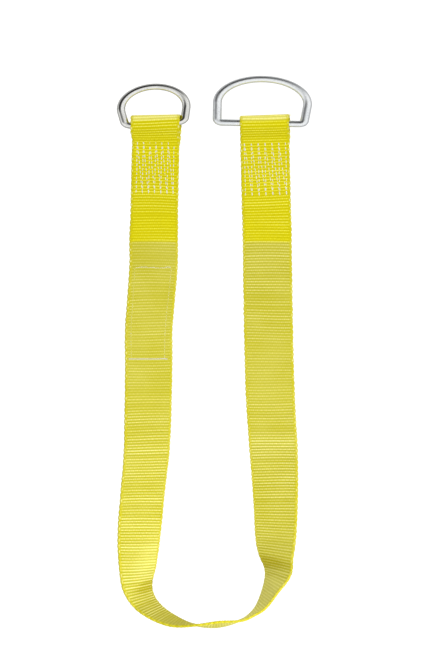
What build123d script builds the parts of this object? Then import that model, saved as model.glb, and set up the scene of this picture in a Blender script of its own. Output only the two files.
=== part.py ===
from build123d import *

# Cross-arm anchor strap, in millimetres.
#
# One strip of webbing lies on the plane Z = 0 in a long narrow U. The turn is at -Y, where the webbing
# stands on its inner edge, and the two legs run to +Y. Each end is folded over the bar of a D-ring and
# sewn back on itself. The small ring is in the left leg (-X) and the large ring is in the right leg (+X).
import os
from dataclasses import dataclass
from math import asin, atan, cos, degrees, hypot, pi, radians, sin, tan

# Webbing
WIDTH = 50.0
THICKNESS = 2.8
PLY_GAP = 0.1  # air between the two sewn plies
UPPER_PLY = THICKNESS + PLY_GAP  # height of the upper ply's underside
SECTIONS_PER_SPAN = 3  # cross-sections from one station of the strap to the next

# Rings: round wire, bent and then flattened, so that their sides are wider than crown and bar
WIRE_SPREAD = 1.35

# Sewing thread
THREAD_WIDTH = 0.9
THREAD_PROUD = 0.3  # how far the needle thread stands out of the webbing
THREAD_SUNK = 0.35  # how deep either thread is pulled into it
STITCH_COLUMNS = 7

# Label, sewn under the small ring's leg
LABEL_WIDTH = 42.0
LABEL_THICKNESS = 0.35
LABEL_SEAM_WIDTH = 38.0
LABEL_SEAM_INSET = 2.0  # from the label's ends to its cross seams
LABEL_FROM = 88.0  # Y of its upper end
LABEL_TO = -9.0  # Y of its lower end
LABEL_LIFT = 0.4  # how far the label holds the leg off the floor


@dataclass
class StrapEnd:
    """A D-ring and the eye that is sewn round its bar."""

    wire_radius: float
    half_width: float  # of the crown, to the middle of the wire
    crown_rise: float  # from the widest place to the crown
    shoulder: float  # from the bar to the widest place
    leans: tuple  # how far the left and right sides lean in, in degrees
    corner_radius: float
    bar_at: tuple  # X and Y of the bar's middle
    bar_turn: float  # direction of the bar seen from above, in degrees from +X
    ring_shift: float  # of the ring along its bar
    heading: float  # direction across the sewn webbing, in degrees from +X
    play: float  # between the bar and the eye
    fold_reach: float  # from the bar's middle to the outside of the fold
    bar_swing: float  # how far the ends of the bar lie to either side inside the eye
    tail: float  # from the bar's middle to the cut end under the leg
    seam: tuple  # where the stitches start and end, from the bar's middle
    column_spacing: float

    @property
    def bar_height(self):
        return THICKNESS + self.play + self.wire_radius

    @property
    def ring_height(self):
        return self.shoulder + self.crown_rise

    @property
    def rest_angle(self):
        """How far the ring tips down to lay its crown on the floor."""
        return degrees(asin((THICKNESS + self.play) / self.ring_height))

    def ring_plane(self):
        """The ring's own plane: X along the bar, Y towards the crown."""
        turn, tip = radians(self.bar_turn), radians(self.rest_angle)
        along = Vector(cos(turn), sin(turn), 0)
        return Plane(
            origin=Vector(*self.bar_at, self.bar_height) + along * self.ring_shift,
            x_dir=along,
            z_dir=(-sin(turn) * sin(tip), cos(turn) * sin(tip), cos(tip)),
        )

    def side_plane(self):
        """The plane across the bar: X towards the crown, Y up, Z across the webbing."""
        turn = radians(self.heading)
        return Plane(
            origin=(*self.bar_at, 0),
            x_dir=(-sin(turn), cos(turn), 0),
            z_dir=(cos(turn), sin(turn), 0),
        )

    def face_plane(self, height):
        """A level plane over the sewn end: X across the webbing, Y towards the crown."""
        turn = radians(self.heading)
        return Plane(origin=(*self.bar_at, height), x_dir=(cos(turn), sin(turn), 0))

    def leg_point(self, distance):
        """X and Y of the middle of the webbing at a distance below the bar."""
        turn = radians(self.heading)
        return (
            self.bar_at[0] + distance * sin(turn),
            self.bar_at[1] - distance * cos(turn),
        )


SMALL = StrapEnd(
    wire_radius=3.2,
    half_width=33.4,
    crown_rise=21.4,
    shoulder=16.6,
    leans=(12, 12),
    corner_radius=5.0,
    bar_at=(-60.7, 232.6),
    bar_turn=4.2,
    ring_shift=-0.2,
    heading=-1.2,
    play=0.9,
    fold_reach=9.2,
    bar_swing=2.4,
    tail=84.0,
    seam=(17.5, 71.5),
    column_spacing=6.5,
)
LARGE = StrapEnd(
    wire_radius=3.4,
    half_width=46.0,
    crown_rise=25.0,
    shoulder=20.3,
    leans=(0, 10),
    corner_radius=3.9,
    bar_at=(50.7, 233.0),
    bar_turn=-1.1,
    ring_shift=-2.3,
    heading=1.4,
    play=0.5,
    fold_reach=8.6,
    bar_swing=1.2,
    tail=87.0,
    seam=(19.0, 74.0),
    column_spacing=7.0,
)
SEWN_PLY_END = 80.0  # where the sewn end stops and the free leg starts, from the bar's middle
PLY_OVERLAP = 1.0  # how far the sewn end runs on into the free leg, so that the two join


# The strap between its sewn ends. Each station is (X, Y of the webbing's middle, turn, lean, lift): turn is
# the direction from the outer to the inner edge seen from above, lean is how far the outer edge is raised,
# both in degrees, and lift is the height of the lowest edge.
STATIONS = [
    (*SMALL.leg_point(SEWN_PLY_END), SMALL.heading, 0, UPPER_PLY),
    (*SMALL.leg_point(SMALL.tail + 2), SMALL.heading, 0, UPPER_PLY),
    (-62.5, 132, 0, 3, 1.2),
    (-62.6, 117, 0, 6, 0.3),
    (-62.2, 90, 0, 10, LABEL_LIFT),
    (-64.8, 54, 2, 13, LABEL_LIFT),
    (-67.2, 22, 1, 15, LABEL_LIFT),
    (-67.2, -12, 0, 16, LABEL_LIFT),
    (-67.9, -58, 0, 18, 0),
    (-69.4, -104, 1, 22, 0),
    (-73.0, -140, 2, 26, 0),
    (-76.8, -184, 0, 29.5, 0),
    (-78.4, -218, 2, 41.5, 0),
    (-78.0, -242, 11, 55.5, 0),
    (-67.0, -259.8, 20, 64.5, 0),
    (-43.5, -274.0, 27, 74, 0),
    (-21.0, -277.9, 52, 88, 0),
    (3.5, -277.3, 88, 96, 0),
    (28.3, -272.8, 122, 90, 0),
    (39.3, -266.4, 134, 86, 0),
    (48.0, -258.0, 143, 79.5, 0),
    (58.3, -238.8, 150, 70, 0),
    (64.2, -224.0, 167, 57.5, 0),
    (62.2, -207.5, 173, 45, 0),
    (62.1, -190.0, 178, 35, 0),
    (62.2, -160.0, 180, 27.5, 0),
    (61.4, -128.0, 180, 20, 0),
    (59.7, -94.0, 180, 10, 0),
    (57.1, -52.0, 180, 3, 0),
    (55.4, 0.0, 180, 0, 0),
    (54.3, 62.0, 180, 0, 0),
    (53.6, 112.0, 180, 0, 0.2),
    (53.4, 128.0, 180, 0, 1.2),
    (*LARGE.leg_point(LARGE.tail + 2), 180 + LARGE.heading, 0, UPPER_PLY),
    (*LARGE.leg_point(SEWN_PLY_END), 180 + LARGE.heading, 0, UPPER_PLY),
]


def between_stations(index, share):
    """The values a share of the way from one station to the next, on a smooth curve through all of them."""
    before = STATIONS[max(index - 1, 0)]
    start, end = STATIONS[index], STATIONS[index + 1]
    after = STATIONS[min(index + 2, len(STATIONS) - 1)]
    span = hypot(end[0] - start[0], end[1] - start[1])
    reach_back = max(hypot(end[0] - before[0], end[1] - before[1]), span)
    reach_on = max(hypot(after[0] - start[0], after[1] - start[1]), span)
    ease = share * share * (3 - 2 * share)
    values = []
    for a, b, c, d in zip(before, start, end, after):
        slope_in = (c - a) * span / reach_back
        slope_out = (d - b) * span / reach_on
        bend_in = share * (1 - share) ** 2
        bend_out = share * share * (1 - share)
        values.append(b + (c - b) * ease + slope_in * bend_in - slope_out * bend_out)
    return values


def strap_planes(first=0.0, last=len(STATIONS) - 1.0):
    """Planes across the webbing: X along its width to the inner edge, Y out of its upper face."""
    count = max(1, round((last - first) * SECTIONS_PER_SPAN))
    middles, widths, lifts = [], [], []
    for i in range(count + 1):
        place = min(first + (last - first) * i / count, len(STATIONS) - 1 - 1e-9)
        x, y, turn, lean, lift = between_stations(int(place), place - int(place))
        turn, lean = radians(turn), radians(lean)
        middles.append(Vector(x, y, lift + WIDTH / 2 * sin(lean)))
        widths.append(Vector(cos(lean) * cos(turn), cos(lean) * sin(turn), -sin(lean)))
        lifts.append(lift)
    planes = []
    for i, (middle, width, lift) in enumerate(zip(middles, widths, lifts)):
        ahead = middles[min(i + 1, count)] - middles[max(i - 1, 0)]
        across = ahead - width * ahead.dot(width)
        thick = width.cross(across).normalized()
        rise = WIDTH / 2 * abs(width.Z) + THICKNESS / 2 * abs(thick.Z)
        planes.append(Plane(origin=(middle.X, middle.Y, lift + rise), x_dir=width, z_dir=across))
    return planes


def eye_outline(end):
    """The sewn end of the webbing from the side: its tail, the fold round the bar and the upper ply."""
    radius = end.wire_radius + end.play + THICKNESS / 2  # of the fold, to the middle of the webbing
    front = end.fold_reach - THICKNESS / 2
    top = THICKNESS / 2 + 2 * radius
    upper = UPPER_PLY + THICKNESS / 2
    slope = radians(34)
    back = -end.bar_swing - radius * tan(slope / 2)  # where the level top meets the slope
    throat = back - (top - upper) / tan(slope)
    with BuildSketch(end.side_plane()) as outline:
        with BuildLine():
            FilletPolyline(
                (-end.tail, THICKNESS / 2),
                (front, THICKNESS / 2),
                (front, top),
                (back, top),
                (throat, upper),
                (-SEWN_PLY_END - PLY_OVERLAP, upper),
                radius=(radius - 0.01, radius - 0.01, radius, 5),
            )
        trace(line_width=THICKNESS)
    return outline.sketch


def make_webbing():
    with BuildPart() as webbing:
        for plane in strap_planes():
            with BuildSketch(plane):
                Rectangle(WIDTH, THICKNESS)
        loft(ruled=True)
        for end in (SMALL, LARGE):
            extrude(eye_outline(end), amount=WIDTH / 2, both=True)
    return webbing.part


def make_ring(end):
    """A D-ring, with its bar along X at the origin and its crown towards +Y."""
    half = end.half_width / WIRE_SPREAD
    left, right = (atan(tan(radians(lean)) / WIRE_SPREAD) for lean in end.leans)
    left_from, right_from = (atan(tan(lean) * end.crown_rise / half) for lean in (left, right))
    with BuildPart() as ring:
        with BuildLine() as arch:
            crown = EllipticalCenterArc(
                (0, end.shoulder),
                half,
                end.crown_rise,
                start_angle=-degrees(right_from),
                arc_size=180 + degrees(left_from + right_from),
            )
            corners = []
            for side, lean, point in ((1, right, crown @ 0), (-1, left, crown @ 1)):
                corner = point.X - side * point.Y * tan(lean)
                short = end.corner_radius * tan((pi / 2 - lean) / 2) + 1
                corners.append(corner - side * short)
                FilletPolyline(point, (corner, 0), (corners[-1], 0), radius=end.corner_radius)
        with BuildSketch(Plane.YZ.offset(corners[0])):
            Circle(end.wire_radius)
        sweep(path=arch.wire())
        scale(by=(WIRE_SPREAD, 1, 1))
        bar_right, bar_left = (x * WIRE_SPREAD for x in corners)
        with BuildSketch(Plane.YZ.offset(bar_left)):
            Circle(end.wire_radius)
        extrude(amount=bar_right - bar_left)
    return ring.part.moved(end.ring_plane().location)


def make_seam(end, bottom, top):
    """The sewn end's stitches from one height to another: columns joined by diagonals."""
    first, last = end.seam
    columns = [(i - (STITCH_COLUMNS - 1) / 2) * end.column_spacing for i in range(STITCH_COLUMNS)]
    rows = [((x, -last), (x, -first)) for x in columns]
    rows += [((x, -first), (beyond, -last)) for x, beyond in zip(columns, columns[1:])]
    with BuildPart() as seam:
        with BuildSketch(end.face_plane(bottom)):
            for row in rows:
                with BuildLine():
                    Line(*row)
                trace(line_width=THREAD_WIDTH)
        extrude(amount=top - bottom)
    return seam.part


def station_at(y):
    """The place of a height Y in the list of stations, on the small ring's leg."""
    for index, (start, end) in enumerate(zip(STATIONS, STATIONS[1:])):
        if end[1] <= y <= start[1]:
            return index + (start[1] - y) / (start[1] - end[1])
    raise ValueError(y)


def make_band(y_from, y_to, x, width, bottom, top):
    """A strip along the small ring's leg, between two heights from the middle of the webbing."""
    with BuildPart() as band:
        for plane in strap_planes(station_at(y_from), station_at(y_to)):
            with BuildSketch(plane):
                with Locations((x, (bottom + top) / 2)):
                    Rectangle(width, top - bottom)
        loft(ruled=True)
    return band.part


def make_label():
    under = -THICKNESS / 2
    return make_band(LABEL_FROM, LABEL_TO, 0, LABEL_WIDTH, under - LABEL_THICKNESS, under)


def make_label_seam(bottom, top):
    """The rectangle of stitches round the label: two rows along the webbing and two across it."""
    y_from, y_to = LABEL_FROM - LABEL_SEAM_INSET, LABEL_TO + LABEL_SEAM_INSET
    half, thread = LABEL_SEAM_WIDTH / 2, THREAD_WIDTH
    with BuildPart() as seam:
        for x in (-half, half):
            add(make_band(y_from, y_to, x, thread, bottom, top))
        for y in (y_from, y_to + thread):
            add(make_band(y, y - thread, 0, LABEL_SEAM_WIDTH + thread, bottom, top))
    return seam.part


FACE = 2 * THICKNESS + PLY_GAP  # height of the sewn ends' upper face
UNDER_LABEL = -THICKNESS / 2 - LABEL_THICKNESS
PIECES = {
    "webbing": make_webbing(),
    "small_d_ring": make_ring(SMALL),
    "large_d_ring": make_ring(LARGE),
    "small_end_needle_thread": make_seam(SMALL, FACE - THREAD_SUNK, FACE + THREAD_PROUD),
    "large_end_needle_thread": make_seam(LARGE, FACE - THREAD_SUNK, FACE + THREAD_PROUD),
    "small_end_bobbin_thread": make_seam(SMALL, 0, THREAD_SUNK),
    "large_end_bobbin_thread": make_seam(LARGE, 0, THREAD_SUNK),
    "label": make_label(),
    "label_needle_thread": make_label_seam(THICKNESS / 2 - THREAD_SUNK, THICKNESS / 2 + THREAD_PROUD),
    "label_bobbin_thread": make_label_seam(UNDER_LABEL, UNDER_LABEL + THREAD_SUNK),
}

os.makedirs("parts", exist_ok=True)
for name, piece in PIECES.items():
    piece.label = name
    export_step(piece, f"parts/{name}.step")

box = Compound(children=list(PIECES.values())).bounding_box()
print("box", [round(v, 2) for v in (*box.min, *box.max)])
for end_name, end in (("small", SMALL), ("large", LARGE)):
    plane = end.ring_plane()
    print(end_name, "bar", plane.origin, "axis", plane.x_dir, "rest angle", round(end.rest_angle, 2))
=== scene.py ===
# Looks of the cross-arm anchor strap: ribbed webbing, two D-rings, sewing thread and a blank label.
# Lengths are in millimetres until a mesh is made, which turns them into metres.
import math
import random
from dataclasses import dataclass

import bpy
import numpy as np
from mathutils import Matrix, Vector


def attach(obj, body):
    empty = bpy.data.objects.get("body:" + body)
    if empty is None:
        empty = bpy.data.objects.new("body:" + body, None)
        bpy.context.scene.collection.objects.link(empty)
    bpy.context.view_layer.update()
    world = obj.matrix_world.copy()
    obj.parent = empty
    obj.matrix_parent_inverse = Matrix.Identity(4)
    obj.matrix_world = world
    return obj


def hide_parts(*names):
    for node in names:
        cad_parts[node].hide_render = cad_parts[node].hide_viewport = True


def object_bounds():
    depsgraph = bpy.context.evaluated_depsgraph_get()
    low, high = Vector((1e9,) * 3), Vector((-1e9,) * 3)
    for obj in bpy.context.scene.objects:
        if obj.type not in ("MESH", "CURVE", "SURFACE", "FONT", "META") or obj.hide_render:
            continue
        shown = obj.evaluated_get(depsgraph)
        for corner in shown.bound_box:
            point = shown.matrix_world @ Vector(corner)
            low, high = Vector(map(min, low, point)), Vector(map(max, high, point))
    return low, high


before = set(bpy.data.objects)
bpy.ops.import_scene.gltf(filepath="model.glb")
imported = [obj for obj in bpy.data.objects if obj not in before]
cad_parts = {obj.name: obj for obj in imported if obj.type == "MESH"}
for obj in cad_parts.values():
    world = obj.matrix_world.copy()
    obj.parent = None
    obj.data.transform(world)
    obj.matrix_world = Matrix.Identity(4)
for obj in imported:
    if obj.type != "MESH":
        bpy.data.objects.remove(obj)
cad_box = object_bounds()

MM = 0.001

# Webbing, as in the CAD model
WIDTH = 50.0
THICKNESS = 2.8
PLY_GAP = 0.1
UPPER_PLY = THICKNESS + PLY_GAP
LABEL_LIFT = 0.4

# Weave. Places across it are shares of its half width, from -1 to 1.
RIB_PITCH = 2.9
RIB_DEPTH = 0.45
RIB_PROFILE = ((0.0, 0.0), (0.15, 0.7), (0.38, 1.0), (0.62, 1.0), (0.85, 0.7))  # place in the rib, height
COLUMNS = (-1.0, -0.985, -0.955, -0.91, -0.8, -0.6, -0.4, -0.2, 0.0)  # mirrored to +1
SELVEDGE = ((0.91, 1.0), (0.955, 0.97), (0.985, 0.8), (1.0, 0.38))  # place across, share of the thickness
BEAD = 0.75  # how far the selvedge's beads stand out, one to every two ribs
BEAD_INSIDE = 0.7  # how much of that lies inside the webbing's width
GRAIN_PITCH = 2.14  # of the yarns along a rib
BUNDLE_PITCH = 4.3  # of the uneven groups that the yarns lie in
TONE_CHANGE = 112.0  # Y where the deep yellow of the sewn ends turns pale
TONE_BLUR = 1.6
MELTED = 0.2  # how much thicker the cut ends are, on the side that faces up
MELT_REACH = 1.2

# Creases at the turn, by the Y of the webbing's middle, and where the ends' shift and squeeze come in
RIGHT_CREASE = -222.5
LEFT_CREASE = -243.5
NUDGE_FROM = (92, 150)
SQUEEZE_FROM = (110, 150)

# How clearly the ribs stand out, in their depth and in the strength of their painted highlights and shade:
# (millimetres from Y = 0 towards the turn, share of the full relief)
LEFT_RELIEF = (
    (-240, 1.0),
    (-112, 0.65),
    (-106, 0.45),
    (20, 0.42),
    (60, 0.7),
    (100, 0.9),
    (200, 1.05),
    (235, 1.4),
    (264, 1.3),
    (274, 0.4),
)
RIGHT_RELIEF = (
    (-240, 0.9),
    (-112, 0.75),
    (-40, 0.62),
    (20, 0.4),
    (50, 0.52),
    (82, 0.66),
    (90, 1.15),
    (130, 0.95),
    (160, 0.78),
    (215, 0.75),
    (235, 0.35),
)

# Label, under the small ring's leg
LABEL_WIDTH = 42.0
LABEL_THICKNESS = 0.35
LABEL_FROM = 88.0
LABEL_TO = -9.0
LABEL_SEAM_INSET = 2.0  # from the label's ends to its cross seams

# Sewing thread
THREAD_RADIUS = 0.42
THREAD_SUNK = 1.1  # how deep the stitches' ends go in
STITCH_LENGTH = 4.6
STITCH_COLUMNS = 7
LABEL_THREAD_RADIUS = 0.3
LABEL_BOBBIN_RADIUS = 0.22
LABEL_THREAD_SUNK = 0.4
STITCH_BED = 0.05  # how far below the webbing's face a stitch starts
FACE = 2 * THICKNESS + PLY_GAP  # height of the sewn ends' upper face
BACK = 0.5  # height of the bobbin stitches, which stay above the floor


@dataclass
class StrapEnd:
    """The eye that is sewn round a D-ring's bar, as in the CAD model, and what its fabric does besides."""

    wire_radius: float
    bar_at: tuple
    heading: float
    play: float
    fold_reach: float
    bar_swing: float
    tail: float
    seam: tuple
    column_spacing: float
    fold_skew: float  # degrees by which the fold turns with the bar
    nudge: float  # how far the sewn part shifts to +X
    squeeze: float  # the sewn part's width, as a share of the webbing's
    tail_slip: float  # how far the under ply shows past the upper one


SMALL = StrapEnd(
    wire_radius=3.2,
    bar_at=(-60.7, 232.6),
    heading=-1.2,
    play=0.9,
    fold_reach=9.2,
    bar_swing=2.4,
    tail=84.0,
    seam=(17.5, 71.5),
    column_spacing=6.5,
    fold_skew=2.4,
    nudge=1.0,
    squeeze=0.965,
    tail_slip=1.9,
)
LARGE = StrapEnd(
    wire_radius=3.4,
    bar_at=(50.7, 233.0),
    heading=1.4,
    play=0.5,
    fold_reach=8.6,
    bar_swing=1.2,
    tail=87.0,
    seam=(19.0, 74.0),
    column_spacing=7.0,
    fold_skew=0.6,
    nudge=0.0,
    squeeze=1.0,
    tail_slip=1.1,
)
SEWN_PLY_END = 80.0


def leg_point(end, distance):
    """X and Y of the middle of the webbing at a distance below the bar."""
    turn = math.radians(end.heading)
    return end.bar_at[0] + distance * math.sin(turn), end.bar_at[1] - distance * math.cos(turn)


# (X, Y of the webbing's middle, turn, lean, lift), the stations of the CAD model, except that the webbing
# leans 1 or 2 degrees further at the middle of the turn
STATIONS = [
    (*leg_point(SMALL, SEWN_PLY_END), SMALL.heading, 0, UPPER_PLY),
    (*leg_point(SMALL, SMALL.tail + 2), SMALL.heading, 0, UPPER_PLY),
    (-62.5, 132, 0, 3, 1.2),
    (-62.6, 117, 0, 6, 0.3),
    (-62.2, 90, 0, 10, LABEL_LIFT),
    (-64.8, 54, 2, 13, LABEL_LIFT),
    (-67.2, 22, 1, 15, LABEL_LIFT),
    (-67.2, -12, 0, 16, LABEL_LIFT),
    (-67.9, -58, 0, 18, 0),
    (-69.4, -104, 1, 22, 0),
    (-73.0, -140, 2, 26, 0),
    (-76.8, -184, 0, 29.5, 0),
    (-78.4, -218, 2, 41.5, 0),
    (-78.0, -242, 11, 55.5, 0),
    (-67.0, -259.8, 20, 64.5, 0),
    (-43.5, -274.0, 27, 74, 0),
    (-21.0, -277.9, 52, 90.3, 0),
    (3.5, -277.3, 88, 97, 0),
    (28.3, -272.8, 122, 90, 0),
    (39.3, -266.4, 134, 86, 0),
    (48.0, -258.0, 143, 79.5, 0),
    (58.3, -238.8, 150, 70, 0),
    (64.2, -224.0, 167, 57.5, 0),
    (62.2, -207.5, 173, 45, 0),
    (62.1, -190.0, 178, 35, 0),
    (62.2, -160.0, 180, 27.5, 0),
    (61.4, -128.0, 180, 20, 0),
    (59.7, -94.0, 180, 10, 0),
    (57.1, -52.0, 180, 3, 0),
    (55.4, 0.0, 180, 0, 0),
    (54.3, 62.0, 180, 0, 0),
    (53.6, 112.0, 180, 0, 0.2),
    (53.4, 128.0, 180, 0, 1.2),
    (*leg_point(LARGE, LARGE.tail + 2), 180 + LARGE.heading, 0, UPPER_PLY),
    (*leg_point(LARGE, SEWN_PLY_END), 180 + LARGE.heading, 0, UPPER_PLY),
]


def smooth(low, high, x):
    """0 below low, 1 above high, and a smooth step between them. low may be the higher one."""
    t = np.clip((np.asarray(x, float) - low) / (high - low), 0, 1)
    return t * t * (3 - 2 * t)


# ---------------------------------------------------------------- the strap's route

def between_stations(index, share):
    """The values a share of the way from one station to the next, on a smooth curve through all of them."""
    before = STATIONS[max(index - 1, 0)]
    start, end = STATIONS[index], STATIONS[index + 1]
    after = STATIONS[min(index + 2, len(STATIONS) - 1)]
    span = math.hypot(end[0] - start[0], end[1] - start[1])
    reach_back = max(math.hypot(end[0] - before[0], end[1] - before[1]), span)
    reach_on = max(math.hypot(after[0] - start[0], after[1] - start[1]), span)
    ease = share * share * (3 - 2 * share)
    values = []
    for a, b, c, d in zip(before, start, end, after):
        slope_in = (c - a) * span / reach_back
        slope_out = (d - b) * span / reach_on
        bend_in = share * (1 - share) ** 2
        bend_out = share * share * (1 - share)
        values.append(b + (c - b) * ease + slope_in * bend_in - slope_out * bend_out)
    return values


def rounded_path(points, radii, step):
    """Points along straight runs whose corners are rounded to the given radii."""
    points = [np.array(p, float) for p in points]
    path = [points[0]]

    def run_to(target):
        count = max(1, int(np.linalg.norm(target - path[-1]) / step))
        start = path[-1]
        path.extend(start + (target - start) * i / count for i in range(1, count + 1))

    for before, corner, after, radius in zip(points, points[1:], points[2:], radii):
        back = (before - corner) / np.linalg.norm(before - corner)
        on = (after - corner) / np.linalg.norm(after - corner)
        half = math.acos(float(np.clip(back @ on, -1, 1))) / 2
        reach = radius / math.tan(half)
        centre = corner + (back + on) / np.linalg.norm(back + on) * radius / math.sin(half)
        run_to(corner + back * reach)
        first = path[-1] - centre
        turn = math.pi - 2 * half
        side = math.copysign(1, back[1] * on[0] - back[0] * on[1])
        count = max(2, int(radius * turn / step))
        for i in range(1, count + 1):
            a = side * turn * i / count
            spin = np.array([[math.cos(a), -math.sin(a)], [math.sin(a), math.cos(a)]])
            path.append(centre + spin @ first)
    run_to(points[-1])
    return np.array(path)


def eye_route(end, step=0.3):
    """Middles and width directions of the sewn end, from its cut tail round the bar to the leg."""
    radius = end.wire_radius + end.play + THICKNESS / 2
    front = end.fold_reach - THICKNESS / 2
    top = THICKNESS / 2 + 2 * radius
    upper = UPPER_PLY + THICKNESS / 2
    slope = math.radians(34)
    back = -end.bar_swing - radius * math.tan(slope / 2)
    throat = back - (top - upper) / math.tan(slope)
    corners = [
        (-end.tail, THICKNESS / 2),
        (front, THICKNESS / 2),
        (front, top),
        (back, top),
        (throat, upper),
        (-SEWN_PLY_END, upper),
    ]
    flat = rounded_path(corners, (radius - 0.01, radius - 0.01, radius, 22), step)
    turn = math.radians(end.heading)
    crown_way = np.array([-math.sin(turn), math.cos(turn), 0])
    across = np.array([math.cos(turn), math.sin(turn), 0])
    before_front = np.arange(len(flat)) <= np.argmax(flat[:, 0])
    under = np.where(before_front, 1 - smooth(2.0, 9.0, flat[:, 1]), 0)
    near_bar = smooth(-26, -12, flat[:, 0])
    sewn = smooth(-10, -18, flat[:, 0])
    shift = end.nudge * sewn + end.tail_slip * under * near_bar
    middles = (
        np.array([*end.bar_at, 0])
        + flat[:, :1] * crown_way
        + flat[:, 1:] * np.array([0, 0, 1])
        + shift[:, None] * across
    )
    skew = np.radians(end.fold_skew) * smooth(-22, 0, flat[:, 0])
    widths = np.cos(skew)[:, None] * across + np.sin(skew)[:, None] * crown_way
    shares = 1 - (1 - end.squeeze) * smooth(-6, -14, flat[:, 0])
    return middles, widths, shares


def leg_route(per_span=70):
    """Middles and width directions of the free webbing between the two sewn ends."""
    middles, widths = [], []
    last = len(STATIONS) - 1
    for i in range(last * per_span + 1):
        place = min(i / per_span, last - 1e-9)
        x, y, turn, lean, lift = between_stations(int(place), place - int(place))
        turn, lean = math.radians(turn), math.radians(lean)
        rise = WIDTH / 2 * math.sin(lean) + THICKNESS / 2 * abs(math.cos(lean))
        middles.append((x, y, lift + rise))
        widths.append((math.cos(lean) * math.cos(turn), math.cos(lean) * math.sin(turn), -math.sin(lean)))
    middles, widths = np.array(middles), np.array(widths)
    left = middles[:, 0] < 0
    middles[:, 0] += np.where(left, SMALL.nudge * smooth(*NUDGE_FROM, middles[:, 1]), 0)
    shares = 1 - np.where(left, 1 - SMALL.squeeze, 1 - LARGE.squeeze) * smooth(*SQUEEZE_FROM, middles[:, 1])
    return middles, widths, shares


class Route:
    """The whole strap's middle line, with the webbing's directions at any distance along it."""

    def __init__(self):
        parts = [eye_route(SMALL), leg_route()]
        middles, widths, shares = eye_route(LARGE)
        parts.append((middles[::-1], -widths[::-1], shares[::-1]))
        self.middles = np.concatenate([p[0] for p in parts])
        self.widths = np.concatenate([p[1] for p in parts])
        self.shares = np.concatenate([p[2] for p in parts])
        keep = np.r_[True, np.linalg.norm(np.diff(self.middles, axis=0), axis=1) > 1e-3]
        self.middles, self.widths, self.shares = self.middles[keep], self.widths[keep], self.shares[keep]
        self.along = np.r_[0, np.cumsum(np.linalg.norm(np.diff(self.middles, axis=0), axis=1))]
        self.length = self.along[-1]
        self.starts = [len(parts[0][0]), len(parts[0][0]) + len(parts[1][0])]

    def at(self, s):
        """Middles, width directions, face normals and width shares at distances s."""
        s = np.asarray(s, float)

        def pick(values, where):
            return np.stack([np.interp(where, self.along, values[:, k]) for k in range(3)], axis=-1)

        middle, width = pick(self.middles, s), pick(self.widths, s)
        width /= np.linalg.norm(width, axis=-1, keepdims=True)
        ahead = pick(self.middles, s + 0.6) - pick(self.middles, s - 0.6)
        ahead -= width * (ahead * width).sum(-1, keepdims=True)
        ahead /= np.linalg.norm(ahead, axis=-1, keepdims=True)
        share = np.interp(s, self.along, self.shares)
        return middle, width, np.cross(ahead, width), share

    def distance_at(self, y, right):
        """The distance along the strap at which a free leg passes Y."""
        inside = np.zeros(len(self.along), bool)
        inside[self.starts[0] : self.starts[1]] = True
        side = inside & ((self.middles[:, 0] > 0) == right)
        which = np.flatnonzero(side)
        return self.along[which[np.argmin(abs(self.middles[which, 1] - y))]]


route = Route()
LEG_FROM, LEG_TO = (route.along[i] for i in route.starts)


# ---------------------------------------------------------------- meshes

def make_object(name, vertices, faces, smooth_shaded=True):
    """A mesh object, from vertices in millimetres."""
    mesh = bpy.data.meshes.new(name)
    mesh.from_pydata((np.asarray(vertices) * MM).tolist(), [], faces)
    mesh.validate()
    mesh.polygons.foreach_set("use_smooth", [smooth_shaded] * len(mesh.polygons))
    piece = bpy.data.objects.new(name, mesh)
    bpy.context.scene.collection.objects.link(piece)
    return piece


def add_attribute(piece, name, kind, values):
    field = "vector" if kind == "FLOAT_VECTOR" else "value"
    attribute = piece.data.attributes.new(name, kind, "POINT")
    attribute.data.foreach_set(field, np.asarray(values, np.float32).ravel())


def tube_grid(rings, per_ring):
    """Faces of a closed tube of rings, with its two ends capped."""
    faces = []
    for i in range(rings - 1):
        a, b = i * per_ring, (i + 1) * per_ring
        for j in range(per_ring):
            k = (j + 1) % per_ring
            faces.append((a + j, a + k, b + k, b + j))
    last = (rings - 1) * per_ring
    half = per_ring // 2
    for j in range(half - 1):
        faces.append((j, per_ring - 1 - j, per_ring - 2 - j, j + 1))
        faces.append((last + j, last + j + 1, last + per_ring - 2 - j, last + per_ring - 1 - j))
    return faces


def bump_at(t, middle, half_width):
    return np.exp(-(((t - middle) / half_width) ** 2))


def crease_places(s, u):
    """Distances from the two creases at the turn, measured along the strap."""
    right = s - route.distance_at(RIGHT_CREASE, True) + 0.4 * u
    left = s - route.distance_at(LEFT_CREASE, False) - 1.0 + 3.0 * u
    return left, right


def swell(s, u):
    """How far the fabric stands above its resting line, beside the creases and in slow waves."""
    left, right = crease_places(s, u)
    inner = smooth(-1.1, 0.7, u)
    bulges = 4.2 * bump_at(right, 17, 8.5) + 2.6 * bump_at(right, -2, 2.6)
    pinch = 5.0 * bump_at(left, -11, 7) + 3.0 * bump_at(left, 8, 5)
    ripples = 0.6 * bump_at(left, 19, 4) + 0.4 * bump_at(right, -11, 4)
    free = smooth(15, 80, s - LEG_FROM) * smooth(15, 80, LEG_TO - s)
    wave = 1.4 + 0.7 * np.sin(s / 19.0 + 0.8 * np.sin(s / 71.0)) + 0.3 * np.sin(s / 8.3 + 1.1 * u)
    wave = wave + 0.4 * np.sin(s / 12.5 - 2.2 * u)
    return bulges + inner * pinch + ripples + 0.5 * wave * free


def painted_crease_shade(s, u):
    """1 where shade is painted darker into the fabric: beside the right crease, at the left crease and over
    the turn past the left crease.
    """
    left, right = crease_places(s, u)
    from_right = bump_at(right, 7.5, 6.0) * (0.65 + 0.85 * smooth(-1, 1, u))
    from_left = bump_at(left, -2.0, 7.0) * smooth(-0.8, 0.6, u) * 1.5
    shaded = 0.6 * smooth(2, 14, left) * smooth(84, 60, left)
    return np.clip(from_right + from_left + shaded, 0, 1)


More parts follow.
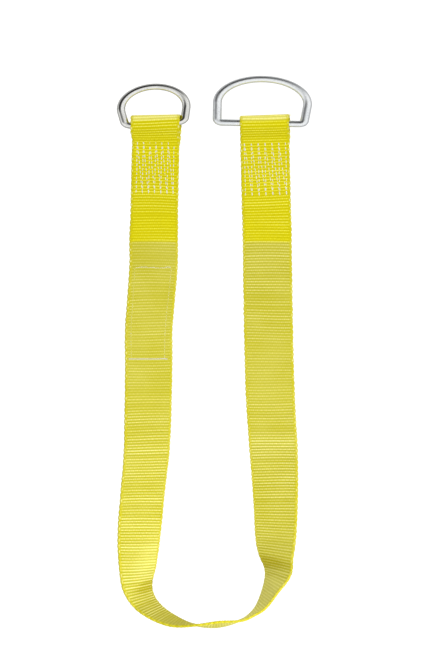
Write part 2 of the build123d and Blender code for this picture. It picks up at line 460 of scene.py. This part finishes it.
def painted_highlights(s, u, middle, normal):
    """1 where highlights are painted pale: on top of the folds, on the right crease and past it, and in a
    patch on the left leg before the left crease.
    """
    left, right = crease_places(s, u)
    folds = smooth(235.4, 237.2, middle[:, 1]) * smooth(0.1, 0.3, normal[:, 2])
    line = bump_at(right, -0.8, 0.8)
    flank = 0.6 * smooth(-3, -12, right) * smooth(-95, -60, right)
    glow = 0.6 * bump_at(left, -32, 20) * smooth(-0.7, 0.5, u)
    return np.clip(folds[:, None] + line + flank + glow, 0, 1)


def relief(y, right):
    """How clearly the ribs stand out at Y, in depth and in painted highlight and shade: less on the middle
    of the legs, more towards the turn.
    """
    left_leg, right_leg = (np.interp(-y, *zip(*table)) for table in (LEFT_RELIEF, RIGHT_RELIEF))
    return np.where(right, right_leg, left_leg)


def both_faces(values):
    """Values across the upper face and back across the under face, in the order round the webbing."""
    return np.concatenate([values, values[:, ::-1]], axis=1)


def make_webbing():
    """The whole strip as one closed mesh, with every rib across it."""
    rng = np.random.default_rng(5)
    ribs = int(route.length / RIB_PITCH)
    pitch = route.length / ribs
    columns = np.array(list(COLUMNS) + [-c for c in reversed(COLUMNS[:-1])])
    places, heights = np.array(RIB_PROFILE).T
    rib = np.repeat(np.arange(ribs), len(places))
    phase = np.tile(places, ribs)
    height = np.tile(heights, ribs)
    depth = RIB_DEPTH * (1 + 0.18 * rng.standard_normal(ribs))[rib]
    s = (rib + phase) * pitch
    s[0], s[-1] = 0, route.length
    middle, width, normal, share = route.at(s)
    on_right = middle[:, 0] > 0

    # across the webbing, with the selvedge's beads
    u = columns[None, :]
    sel_place, sel_share = np.array(SELVEDGE).T
    edge = np.interp(np.abs(columns), np.r_[0, sel_place], np.r_[1, sel_share])[None, :]
    bead = BEAD * np.abs(np.cos(np.pi * (rib + phase) / 2)) ** 0.7
    bead = bead * (1 + 0.12 * rng.standard_normal(ribs // 2 + 1))[rib // 2]
    half = WIDTH / 2 * share[:, None]
    outward = smooth(0.88, 1.0, np.abs(u)) * (bead - BEAD * BEAD_INSIDE)[:, None]
    across = u * half + np.sign(u) * outward

    # ribs wander a little along the strap, so they aren't ruled lines, and arch where the label starts
    drift = 0.36 * np.sin(s[:, None] / 41 + u * 1.3) + 0.2 * np.sin(s[:, None] / 17 - u * 2.1)
    bow = -0.9 * bump_at(middle[:, 1], 84, 34) * ~on_right
    drift = drift + bow[:, None] * (1 - u * u)
    calm = smooth(0, 6, s) * smooth(route.length, route.length - 6, s)
    along = drift * calm[:, None]

    # through its thickness
    definition = relief(middle[:, 1], on_right)
    rib_drop = (depth * definition**0.5 * (1 - height))[:, None] * (1 - 0.45 * smooth(0.93, 1.0, np.abs(u)))
    thick = (THICKNESS / 2) * edge - rib_drop * np.minimum(edge + 0.2, 1)
    melted = 1 + MELTED * (np.exp(-s / MELT_REACH) + np.exp(-(route.length - s) / MELT_REACH))

    ahead = np.cross(width, normal)
    centre = middle[:, None] + width[:, None] * across[..., None] + ahead[:, None] * along[..., None]
    centre = centre + np.array([0, 0, 1]) * swell(s[:, None], u)[..., None]
    top = centre + normal[:, None] * thick[..., None]
    bottom = centre - normal[:, None] * (thick * melted[:, None])[..., None]
    rows = np.concatenate([top, bottom[:, ::-1]], axis=1)
    per_row = rows.shape[1]
    piece = make_object("webbing_strap", rows.reshape(-1, 3), tube_grid(len(s), per_row))

    # what the material reads: place in the weave, tone, each rib's own shade, and painted light: crease
    # shade, painted highlights and the ribs' relief
    weave = np.broadcast_arrays(both_faces(across), (rib + phase)[:, None], both_faces(np.abs(u)))
    add_attribute(piece, "weave", "FLOAT_VECTOR", np.stack(weave, axis=-1))
    first, last = (route.distance_at(TONE_CHANGE, right) for right in (False, True))
    deep = np.maximum(
        smooth(first + TONE_BLUR, first - TONE_BLUR, s), smooth(last - TONE_BLUR, last + TONE_BLUR, s)
    )
    add_attribute(piece, "deep", "FLOAT", np.repeat(deep, per_row))
    shade = np.clip(rng.standard_normal(ribs) * 0.5, -1, 1)[rib]
    add_attribute(piece, "shade", "FLOAT", np.repeat(shade, per_row))
    crease_shade, highlight_mask = painted_crease_shade(s[:, None], u), painted_highlights(s[:, None], u, middle, normal)
    definition = np.broadcast_to(definition[:, None], crease_shade.shape)
    painted_light_and_relief = np.stack([both_faces(values) for values in (crease_shade, highlight_mask, definition)], axis=-1)
    add_attribute(piece, "painted_light_and_relief", "FLOAT_VECTOR", painted_light_and_relief)
    return piece


def add_tube(vertices, faces, points, radii, sides=6):
    """Adds a closed tube along points to the lists of a mesh."""
    points = np.asarray(points, float)
    ahead = np.gradient(points, axis=0)
    ahead /= np.linalg.norm(ahead, axis=1, keepdims=True)
    up = np.array([0.0, 0.0, 1.0]) if abs(ahead[0][2]) < 0.9 else np.array([1.0, 0.0, 0.0])
    first = len(vertices)
    for point, way, radius in zip(points, ahead, radii):
        side = np.cross(up, way)
        side /= np.linalg.norm(side)
        over = np.cross(way, side)
        for j in range(sides):
            a = 2 * math.pi * j / sides
            vertices.append(point + (side * math.cos(a) + over * math.sin(a)) * radius)
    faces.extend(tuple(first + v for v in face) for face in tube_grid(len(points), sides))


def stitch(vertices, faces, start, end, out, radius, proud, sunk):
    """One stitch from hole to hole: it comes up, lies over the ribs and goes down again."""
    places = np.array([0.0, 0.14, 0.3, 0.5, 0.7, 0.86, 1.0])
    rise = np.array([-sunk, -sunk * 0.6, 0.5 * proud - 0.1, proud, 0.5 * proud - 0.1, -sunk * 0.6, -sunk])
    points = start + (end - start) * places[:, None] + out * rise[:, None]
    radii = radius * np.array([0.75, 0.9, 1.0, 1.0, 1.0, 0.9, 0.75])
    add_tube(vertices, faces, points, radii)


def end_frame(end):
    """Where the sewn end's stitches are measured from, and its two directions in the plane."""
    turn = math.radians(end.heading)
    origin = np.array([*end.bar_at, 0.0])
    across = np.array([math.cos(turn), math.sin(turn), 0])
    down = np.array([math.sin(turn), -math.cos(turn), 0])
    return origin + across * end.nudge, across, down


def make_end_seam(name, end, height, out, seed):
    """Seven columns of stitches joined by six diagonals. out is 1 on the upper face and -1 underneath."""
    rng = random.Random(seed)
    origin, across, down = end_frame(end)
    first, last = end.seam
    middle_column = (STITCH_COLUMNS - 1) / 2
    columns = [(i - middle_column) * end.column_spacing * end.squeeze for i in range(STITCH_COLUMNS)]
    rows = [((x, first), (x, last)) for x in columns]
    rows += [((x, first), (beyond, last)) for x, beyond in zip(columns, columns[1:])]
    vertices, faces = [], []
    for (x0, d0), (x1, d1) in rows:
        count = round(math.hypot(x1 - x0, d1 - d0) / (STITCH_LENGTH * rng.uniform(0.9, 1.08)))
        lean = rng.uniform(-0.25, 0.25)
        holes = []
        for i in range(count + 1):
            t = i / count
            x = x0 + (x1 - x0) * t + lean * math.sin(math.pi * t) + rng.uniform(-0.16, 0.16)
            d = d0 + (d1 - d0) * t + rng.uniform(-0.3, 0.3)
            holes.append(origin + across * x + down * d + np.array([0, 0, height]))
        for a, b in zip(holes, holes[1:]):
            proud = rng.uniform(-0.38, 0.08)
            stitch(vertices, faces, a, b, np.array([0, 0, out]), THREAD_RADIUS, proud, THREAD_SUNK)
    return make_object(name, np.array(vertices), faces)


def strap_point(s, u, height):
    """A point over the webbing: distance along it, millimetres across it, and height from its middle."""
    middle, width, normal, _ = route.at(np.array([s]))
    return (middle + width * u + normal * height)[0] + np.array([0, 0, swell(s, 2 * u / WIDTH)])


def label_rows():
    """The label's seam: each row's ends as (Y, across), stitch length, wander, thickness and height."""
    top, bottom = LABEL_FROM - LABEL_SEAM_INSET, LABEL_TO + LABEL_SEAM_INSET
    return [
        ((top, -19.6), (bottom, -18.6), 2.3, 0.16, 0.75, -0.3),
        ((top, 18.4), (bottom, 16.4), 2.1, 0.4, 0.8, -0.26),
        ((top, -19.0), (top, 17.6), 1.9, 0.8, 1.1, -0.06),
        ((bottom, -21.5), (bottom, 19.5), 1.7, 0.18, 1.6, 0.18),
    ]


def make_label_seam(name, side, base, radius, seed):
    """The label's stitches on one face of the webbing. side is 1 on the upper face and -1 underneath."""
    rng = random.Random(seed)
    vertices, faces = [], []
    for (y0, u0), (y1, u1), length, wander, thickness, lie in label_rows():
        s0, s1 = route.distance_at(y0, False), route.distance_at(y1, False)
        reach = math.hypot(s1 - s0, u1 - u0)
        count = round(reach / length)
        holes = []
        for i in range(count + 1):
            t = i / count
            s = s0 + (s1 - s0) * t + rng.uniform(-wander, wander)
            u = u0 + (u1 - u0) * t + rng.uniform(-wander, wander) * 0.6
            holes.append((s, u))
        for (sa, ua), (sb, ub) in zip(holes, holes[1:]):
            a, b = strap_point(sa, ua, side * base), strap_point(sb, ub, side * base)
            between = (sa + sb) / 2
            out = strap_point(between, ua, side * (base + 1)) - strap_point(between, ua, side * base)
            proud = lie * (side > 0) + rng.uniform(-0.08, 0.12)
            stitch(vertices, faces, a, b, out, radius * thickness, proud, LABEL_THREAD_SUNK)
    return make_object(name, np.array(vertices), faces)


def make_label():
    """A blank woven tape under the small ring's leg, a little wavy, with folded ends."""
    s0, s1 = route.distance_at(LABEL_FROM, False), route.distance_at(LABEL_TO, False)
    rows, columns = 120, 40
    u = np.linspace(-1, 1, columns)
    s = np.linspace(s0, s1, rows)
    middle, width, normal, _ = route.at(s)
    vertices = []
    near = THICKNESS / 2
    for i in range(rows):
        fold = 0.22 * math.exp(-min(i, rows - 1 - i) / 5)
        wave = 0.05 * np.sin(s[i] / 6 + u * 2) + 0.04 * np.sin(u * 9 + s[i] / 11)
        face = near + LABEL_THICKNESS + fold + wave - 0.1
        up = swell(s[i], u * LABEL_WIDTH / WIDTH)[:, None] * np.array([0, 0, 1])
        row = middle[i] + width[i] * u[:, None] * LABEL_WIDTH / 2 + up
        vertices.extend(row - normal[i] * (near - 0.2))
        vertices.extend((row - normal[i] * face[:, None])[::-1])
    return make_object("label_tape", np.array(vertices), tube_grid(rows, 2 * columns))


def scatter(rng, *ranges):
    """A random vector, with one value from each range."""
    return np.array([rng.uniform(low, high) for low, high in ranges])


def make_tuft(name, at, way, count, seed):
    """A few yarn ends that stick out of the webbing."""
    rng = random.Random(seed)
    vertices, faces = [], []
    way = np.array(way, float)
    for _ in range(count):
        lean = scatter(rng, (-0.7, 0.7), (-0.7, 0.7), (-0.2, 0.6))
        start = np.array(at) + scatter(rng, (-0.5, 0.5), (-0.7, 0.7), (-0.5, 0.5))
        length = rng.uniform(1.3, 2.8)
        bend = scatter(rng, (-0.4, 0.4), (-0.4, 0.4), (-0.3, 0.1))
        points = []
        for t in np.linspace(0, 1, 6):
            points.append(start + (way + lean * 0.6) * length * t + bend * length * t * t)
        add_tube(vertices, faces, points, np.linspace(0.13, 0.05, 6), sides=4)
    return make_object(name, np.array(vertices), faces)


# ---------------------------------------------------------------- materials

class Nodes:
    """A short way to write a node tree."""

    def __init__(self, tree):
        self.tree = tree
        self.shader = tree.nodes.get("Principled BSDF")

    def add(self, kind, **settings):
        node = self.tree.nodes.new(kind)
        for key, value in settings.items():
            setattr(node, key, value)
        return node

    def link(self, source, target):
        self.tree.links.new(source, target)

    def feed(self, socket, value):
        if isinstance(value, bpy.types.NodeSocket):
            self.link(value, socket)
        else:
            socket.default_value = value

    def math(self, operation, *values, clamp=False):
        node = self.add("ShaderNodeMath", operation=operation, use_clamp=clamp)
        for socket, value in zip(node.inputs, values):
            self.feed(socket, value)
        return node.outputs[0]

    def times(self, *values):
        product = values[0]
        for value in values[1:]:
            product = self.math("MULTIPLY", product, value)
        return product

    def scaled(self, value, factor, offset):
        return self.math("ADD", self.math("MULTIPLY", value, factor), offset)

    def mix(self, share, low, high):
        node = self.add("ShaderNodeMix", data_type="RGBA")
        self.feed(node.inputs["Factor"], share)
        for name, value in (("A", low), ("B", high)):
            socket = next(i for i in node.inputs if i.name == name and i.type == "RGBA")
            self.feed(socket, value if isinstance(value, bpy.types.NodeSocket) else (*value, 1.0))
        return next(o for o in node.outputs if o.type == "RGBA")

    def ramp(self, value, *stops):
        """A smooth step: from and to, then the values there."""
        node = self.add("ShaderNodeMapRange", interpolation_type="SMOOTHSTEP", clamp=True)
        self.feed(node.inputs[0], value)
        for i, stop in enumerate(stops, 1):
            node.inputs[i].default_value = stop
        return node.outputs[0]

    def parts(self, vector):
        node = self.add("ShaderNodeSeparateXYZ")
        self.link(vector, node.inputs[0])
        return tuple(node.outputs)

    def noise(self, vector, scale, detail=2.0, stretch=None):
        if stretch:
            mapping = self.add("ShaderNodeMapping")
            mapping.inputs["Scale"].default_value = stretch
            self.link(vector, mapping.inputs["Vector"])
            vector = mapping.outputs["Vector"]
        node = self.add("ShaderNodeTexNoise")
        self.link(vector, node.inputs["Vector"])
        node.inputs["Scale"].default_value = scale
        node.inputs["Detail"].default_value = detail
        return node.outputs["Fac"]

    def bands(self, vector, direction, scale, distortion):
        node = self.add("ShaderNodeTexWave", wave_type="BANDS", bands_direction=direction)
        self.link(vector, node.inputs["Vector"])
        node.inputs["Scale"].default_value = scale
        node.inputs["Distortion"].default_value = distortion
        return node.outputs["Fac"]

    def attribute(self, name, output="Fac"):
        return self.add("ShaderNodeAttribute", attribute_name=name).outputs[output]

    def place(self):
        return self.add("ShaderNodeTexCoord").outputs["Object"]

    def bump(self, height, distance, strength):
        node = self.add("ShaderNodeBump")
        node.inputs["Distance"].default_value = distance
        node.inputs["Strength"].default_value = strength
        self.link(height, node.inputs["Height"])
        return node.outputs["Normal"]

    def set(self, **values):
        """Sets or links the shader's inputs, which are named with _ for each space."""
        for key, value in values.items():
            self.feed(self.shader.inputs[key.replace("_", " ")], value)


def new_material(name):
    material = bpy.data.materials.new(name)
    material.use_nodes = True
    return material, Nodes(material.node_tree)


# Webbing colours: in the valleys between ribs, on the ribs and on their crests, for either tone. The
# valleys' darker colour is painted shade; the ribs' lighter colour and the crests' paler one are painted
# highlights
DEEP_YELLOW = ((0.620, 0.545, 0.0), (0.830, 0.765, 0.004), (0.90, 0.86, 0.18))
PALE_YELLOW = ((0.500, 0.455, 0.012), (0.775, 0.725, 0.165), (0.91, 0.87, 0.36))
# the colour of the painted highlights on the folds, along the right crease and on the left leg
PAINTED_HIGHLIGHT = (0.96, 0.91, 0.30)
BORDER = (0.61, 0.540, 0.002)  # along the selvedge
# the colour of the painted highlights on the selvedge's beads
BEAD_HIGHLIGHT = (0.88, 0.85, 0.34)
FADED = (0.78, 0.74, 0.20)
FIBRE_SHADOW = (0.40, 0.34, 0.002)
# the colour of the painted shade at the creases and over the turn
CREASE_SHADE = (0.42, 0.365, 0.0)


def webbing_material():
    material, n = new_material("ribbed_yellow_webbing")
    across, rib, edge = n.parts(n.attribute("weave", "Vector"))
    crease_shade, highlight_here, definition = n.parts(n.attribute("painted_light_and_relief", "Vector"))
    deep = n.attribute("deep")
    place = n.place()
    fibre = n.noise(place, 900.0, 3.0)
    patch = n.noise(place, 26.0, 2.0)

    def yarns(rib_turn, period):
        """Waves along each rib, from 0 to 1, staggered from rib to rib."""
        wave = n.math("SINE", n.math("ADD", n.math("MULTIPLY", across, 2 * math.pi / period), rib_turn))
        return n.scaled(wave, 0.5, 0.5)

    # how far each place is from a valley to a rib's top: 0 to 1, uneven from yarn to yarn and rib to rib.
    # This mask mixes the valleys' painted shade into the ribs' painted highlight
    rib_turn = n.math("MULTIPLY", n.math("FLOOR", rib), math.pi)
    grain, bundle = yarns(rib_turn, GRAIN_PITCH), yarns(rib_turn, BUNDLE_PITCH)
    arch = n.math("SINE", n.math("MULTIPLY", n.math("FRACT", rib), math.pi))
    ridge = n.times(
        n.ramp(arch, 0.45, 1.0, 0.0, 1.0),
        n.scaled(grain, 0.42, 0.70),
        n.scaled(bundle, 0.3, 0.75),
        n.scaled(n.attribute("shade"), 0.4, 0.9),
    )
    level = n.math("MULTIPLY", n.math("SUBTRACT", ridge, 0.12), definition)
    ridge = n.math("ADD", level, 0.12, clamp=True)
    # each tone, from the painted shade of the valleys to the painted highlight of the ribs
    colour = n.mix(deep, n.mix(ridge, *PALE_YELLOW[:2]), n.mix(ridge, *DEEP_YELLOW[:2]))

    # painted highlights on the crests, fewer in some bands and near the edges
    crest = n.times(
        n.ramp(arch, 0.88, 1.0, 0.0, 1.0),
        n.math("POWER", ridge, 1.5),
        n.ramp(n.noise(place, 42.0, 1.0, stretch=(0.2, 1.0, 1.0)), 0.36, 0.62, 0.25, 1.0),
        n.ramp(edge, 0.93, 0.84, 0.25, 1.0),
    )
    colour = n.mix(crest, colour, n.mix(deep, PALE_YELLOW[2], DEEP_YELLOW[2]))
    # painted highlights on the folds, the right crease and the left leg, stronger on the ribs
    colour = n.mix(n.math("MULTIPLY", highlight_here, n.scaled(ridge, 0.55, 0.4)), colour, PAINTED_HIGHLIGHT)

    # the selvedge: a deep yellow border with painted highlights on some of its beads
    colour = n.mix(n.ramp(edge, 0.85, 0.94, 0.0, 0.7), colour, BORDER)
    bead_highlights = n.times(
        n.ramp(n.math("COSINE", n.math("MULTIPLY", rib, math.pi)), 0.0, 1.0, 0.0, 1.0),
        n.ramp(edge, 0.91, 0.95, 0.0, 1.0),
        n.ramp(edge, 1.0, 0.965, 0.0, 1.0),
        n.ramp(n.noise(place, 160.0, 1.0), 0.4, 0.62, 0.05, 0.75),
    )
    colour = n.mix(bead_highlights, colour, BEAD_HIGHLIGHT)

    # faded patches between the sewn ends, painted shadow between fibres, and painted shade at the creases
    # and over the turn, less on the ribs
    faded = n.math("MULTIPLY", n.ramp(patch, 0.35, 0.7, 0.0, 0.12), n.math("SUBTRACT", 1.0, deep))
    colour = n.mix(faded, colour, FADED)
    colour = n.mix(n.ramp(fibre, 0.30, 0.62, 0.16, 0.0), colour, FIBRE_SHADOW)
    off_ridge = n.math("SUBTRACT", 1.0, n.math("MULTIPLY", ridge, 0.75))
    colour = n.mix(n.math("MULTIPLY", crease_shade, off_ridge), colour, CREASE_SHADE)

    height = n.math("ADD", n.times(grain, arch, 0.6), n.math("MULTIPLY", fibre, 0.35))
    n.set(
        Base_Color=colour,
        Roughness=n.scaled(fibre, 0.25, 0.36),
        Normal=n.bump(height, 0.00022, 0.8),
        Sheen_Weight=0.01,
        Sheen_Roughness=0.4,
        Specular_IOR_Level=0.07,
    )
    return material


def thread_material(name, colour, shadow):
    material, n = new_material(name)
    place = n.place()
    twist = n.bands(place, "DIAGONAL", 420.0, 1.5)
    fuzz = n.noise(place, 1500.0, 2.0)
    shade = n.mix(n.math("MULTIPLY", twist, 0.5), colour, shadow)
    shade = n.mix(n.ramp(fuzz, 0.35, 0.65, 0.2, 0.0), shade, shadow)
    n.set(
        Base_Color=shade,
        Roughness=n.scaled(fuzz, 0.2, 0.45),
        Normal=n.bump(twist, 0.00012, 0.6),
        Sheen_Weight=0.25,
    )
    return material


def label_material():
    material, n = new_material("blank_woven_label")
    place = n.place()
    warp, weft = (n.bands(place, direction, 560.0, 0.6) for direction in ("X", "Y"))
    cloth = n.math("MULTIPLY", warp, weft)
    patch = n.noise(place, 60.0, 3.0)
    colour = n.mix(cloth, (0.74, 0.74, 0.71), (0.90, 0.90, 0.87))
    colour = n.mix(n.ramp(patch, 0.4, 0.75, 0.0, 0.25), colour, (0.80, 0.78, 0.66))
    n.set(Base_Color=colour, Roughness=n.scaled(patch, 0.2, 0.5), Normal=n.bump(cloth, 0.0001, 0.7))
    return material


def steel_material(name, light, dark, roughness, speck_scale, bump_height):
    """A plated or polished ring: cloudy colour and roughness, fine scratches, and dark specks."""
    material, n = new_material(name)
    place = n.place()
    cloud = n.noise(place, 70.0, 4.0)
    speck = n.noise(place, speck_scale, 3.0)
    scratch = n.noise(place, 260.0, 4.0, stretch=(1.0, 9.0, 3.0))
    colour = n.mix(n.ramp(cloud, 0.35, 0.7, 0.0, 1.0), light, dark)
    colour = n.mix(n.ramp(speck, 0.52, 0.72, 0.0, 0.5), colour, tuple(c * 0.6 for c in dark))
    mottle = n.math("ADD", n.math("MULTIPLY", cloud, 0.6), n.math("MULTIPLY", scratch, 0.4))
    height = n.math("ADD", n.math("MULTIPLY", scratch, 0.5), n.math("MULTIPLY", speck, 0.5))
    n.set(
        Base_Color=colour,
        Metallic=1.0,
        Roughness=n.ramp(mottle, 0.35, 0.65, *roughness),
        Normal=n.bump(height, bump_height, 0.5),
    )
    return material


# ---------------------------------------------------------------- pieces

webbing = make_webbing()
label = make_label()
on_face, on_label = THICKNESS / 2 - STITCH_BED, THICKNESS / 2 + LABEL_THICKNESS
end_seams = {
    "small_end_needle_thread": make_end_seam("small_end_needle_stitches", SMALL, FACE - STITCH_BED, 1, 11),
    "large_end_needle_thread": make_end_seam("large_end_needle_stitches", LARGE, FACE - STITCH_BED, 1, 12),
    "small_end_bobbin_thread": make_end_seam("small_end_bobbin_stitches", SMALL, BACK, -1, 13),
    "large_end_bobbin_thread": make_end_seam("large_end_bobbin_stitches", LARGE, BACK, -1, 14),
}
label_seams = {
    "label_needle_thread": make_label_seam("label_needle_stitches", 1, on_face, LABEL_THREAD_RADIUS, 15),
    "label_bobbin_thread": make_label_seam("label_bobbin_stitches", -1, on_label, LABEL_BOBBIN_RADIUS, 16),
}
tufts = [
    make_tuft("yarn_ends_at_large_eye", (75.9, 241.2, 7.0), (0.7, 0.35, 0.2), 9, 21),
    make_tuft("yarn_ends_at_large_tail", (28.2, 145.6, 1.6), (-0.7, -0.1, 0.1), 7, 22),
]

webbing_look = webbing_material()
webbing.data.materials.append(webbing_look)
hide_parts("webbing")
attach(webbing, "strap")

label.data.materials.append(label_material())
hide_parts("label")
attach(label, "strap")

thread_look = thread_material("white_sewing_thread", (0.90, 0.90, 0.84), (0.62, 0.61, 0.50))
label_thread_look = thread_material("grey_white_label_thread", (0.88, 0.88, 0.83), (0.58, 0.57, 0.48))
for seams, look, slot in (
    (end_seams, thread_look, "thread"),
    (label_seams, label_thread_look, "label_thread"),
):
    for node, piece in seams.items():
        piece.data.materials.append(look)
        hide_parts(node)
        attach(piece, "strap")

for tuft in tufts:
    tuft.data.materials.append(webbing_look)
    count = len(tuft.data.vertices)
    add_attribute(tuft, "weave", "FLOAT_VECTOR", [(0.3, 0.5, 0.0)] * count)
    add_attribute(tuft, "deep", "FLOAT", [1.0] * count)
    add_attribute(tuft, "shade", "FLOAT", [1.0] * count)
    # no painted crease shade, the painted highlights at half strength, full rib relief
    add_attribute(tuft, "painted_light_and_relief", "FLOAT_VECTOR", [(0.0, 0.5, 1.0)] * count)
    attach(tuft, "strap")

CHROME = ((0.84, 0.84, 0.82), (0.70, 0.70, 0.67))  # light and dark
ZINC = ((0.92, 0.94, 0.95), (0.82, 0.85, 0.87))
chrome_look = steel_material("polished_ring", *CHROME, (0.09, 0.18), 900.0, 0.00003)
zinc_look = steel_material("bright_zinc_ring", *ZINC, (0.27, 0.37), 700.0, 0.00004)
for node, look in (("small_d_ring", chrome_look), ("large_d_ring", zinc_look)):
    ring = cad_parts[node]
    ring.data.materials.clear()
    ring.data.materials.append(look)


# ---------------------------------------------------------------- floor, light and camera, in metres

WHITE = (1, 1, 1, 1)
SOFT_LIGHT = 0.64  # what the room gives to fabric and floor
ROOM = 1.25  # how bright it looks in the rings
ROOM_GREY = (0.8, 0.8, 0.8, 1)
DARK_PARTS = (  # direction, degrees to its outer and inner edge, what it leaves of the light
    ((-0.45, 0.50, 0.74), 40, 20, 0.04),
    ((0.05, 0.87, 0.49), 38, 20, 0.10),
    ((0.0, 0.0, -1.0), 112, 96, 0.25),
)
PLANE = 60.0  # half the floor's side
FLOOR_GAP = 0.00002  # between the floor and the strap
FLOOR_GREY = (0.34, 0.34, 0.34, 1)
FLOOR_GLOW = 0.80
FLOOR_IN_RINGS = 0.22  # how much of the glow shows in the rings
BACKDROP_Z = -0.3
CAMERA_AT = (0.00495, 0.02285, 12.0)
VIEW_HEIGHT = 0.6722
SENSOR = 36.0


def make_plane(name, z):
    """A large level plane, which isn't part of the object."""
    mesh = bpy.data.meshes.new(name)
    corners = [(-PLANE, -PLANE, z), (PLANE, -PLANE, z), (PLANE, PLANE, z), (-PLANE, PLANE, z)]
    mesh.from_pydata(corners, [], [(0, 1, 2, 3)])
    plane = bpy.data.objects.new(name, mesh)
    bpy.context.scene.collection.objects.link(plane)
    return plane


def floor_material():
    """Pale, glowing a little, and clear from behind so that the strap can be seen from below."""
    material, n = new_material("pale_floor")
    in_rings = n.add("ShaderNodeLightPath").outputs["Is Glossy Ray"]
    lost = n.math("MULTIPLY", in_rings, FLOOR_GLOW - FLOOR_IN_RINGS)
    n.set(
        Base_Color=FLOOR_GREY,
        Roughness=0.9,
        Specular_IOR_Level=0.0,
        Emission_Color=WHITE,
        Emission_Strength=n.math("SUBTRACT", FLOOR_GLOW, lost),
    )
    clear = n.add("ShaderNodeMixShader")
    n.link(n.add("ShaderNodeNewGeometry").outputs["Backfacing"], clear.inputs[0])
    n.link(n.shader.outputs[0], clear.inputs[1])
    n.link(n.add("ShaderNodeBsdfTransparent").outputs[0], clear.inputs[2])
    n.link(clear.outputs[0], n.tree.nodes["Material Output"].inputs["Surface"])
    return material


def make_floor():
    """The floor just under the strap, which lights it and shows in the rings, and a backdrop.

    The rings can swing below the floor, so the camera sees the same surface further down instead."""
    look = floor_material()
    floor = make_plane("floor", cad_box[0].z - FLOOR_GAP)
    floor.visible_camera = False
    backdrop = make_plane("backdrop", BACKDROP_Z)
    backdrop.visible_diffuse = backdrop.visible_glossy = backdrop.visible_shadow = False
    for plane in (floor, backdrop):
        plane.data.materials.append(look)


def make_area(name, place, target, side, power):
    """A square lamp that the rings don't show."""
    data = bpy.data.lights.new(name, "AREA")
    data.shape = "SQUARE"
    data.size = side
    data.energy = power
    light = bpy.data.objects.new(name, data)
    bpy.context.scene.collection.objects.link(light)
    light.location = place
    light.rotation_euler = Vector(np.subtract(target, place)).to_track_quat("-Z", "Y").to_euler()
    light.visible_glossy = False


def make_world():
    """A bright soft room. Fabric and floor get its even light, and the rings show its dark parts."""
    world = bpy.data.worlds.new("studio")
    bpy.context.scene.world = world
    world.use_nodes = True
    n = Nodes(world.node_tree)
    place = n.add("ShaderNodeTexCoord").outputs["Generated"]
    level = ROOM
    for direction, outer, inner, darkest in DARK_PARTS:
        aim = n.add("ShaderNodeVectorMath", operation="DOT_PRODUCT")
        n.link(place, aim.inputs[0])
        aim.inputs[1].default_value = direction
        edges = math.cos(math.radians(outer)), math.cos(math.radians(inner))
        level = n.math("MULTIPLY", n.ramp(aim.outputs["Value"], *edges, 1.0, darkest), level)

    def background(strength, colour):
        node = n.add("ShaderNodeBackground")
        n.feed(node.inputs["Strength"], strength)
        node.inputs["Color"].default_value = colour
        return node.outputs[0]

    path = n.add("ShaderNodeLightPath")
    last = background(SOFT_LIGHT, WHITE)
    in_rings, in_view = background(level, ROOM_GREY), background(1.0, WHITE)
    for ray, shader in (("Is Glossy Ray", in_rings), ("Is Camera Ray", in_view)):
        mix = n.add("ShaderNodeMixShader")
        n.link(path.outputs[ray], mix.inputs[0])
        n.link(last, mix.inputs[1])
        n.link(shader, mix.inputs[2])
        last = mix.outputs[0]
    n.link(last, n.tree.nodes["World Output"].inputs["Surface"])


def make_camera():
    """Straight above the strap, from far away, with the strap's box a little below the middle."""
    data = bpy.data.cameras.new("camera")
    data.sensor_width = SENSOR
    data.lens = SENSOR / VIEW_HEIGHT * CAMERA_AT[2]
    data.clip_end = 100.0
    camera = bpy.data.objects.new("camera", data)
    bpy.context.scene.collection.objects.link(camera)
    camera.location = CAMERA_AT
    bpy.context.scene.camera = camera


make_floor()
make_world()
make_area("key", (0.8, 1.4, 1.6), (0.0, 0.0, 0.0), 0.9, 20.0)
make_area("low", (0.15, -0.50, 0.45), (-0.03, -0.2, 0.0), 0.4, 2.2)
make_camera()
bpy.context.scene.view_settings.view_transform = "Standard"
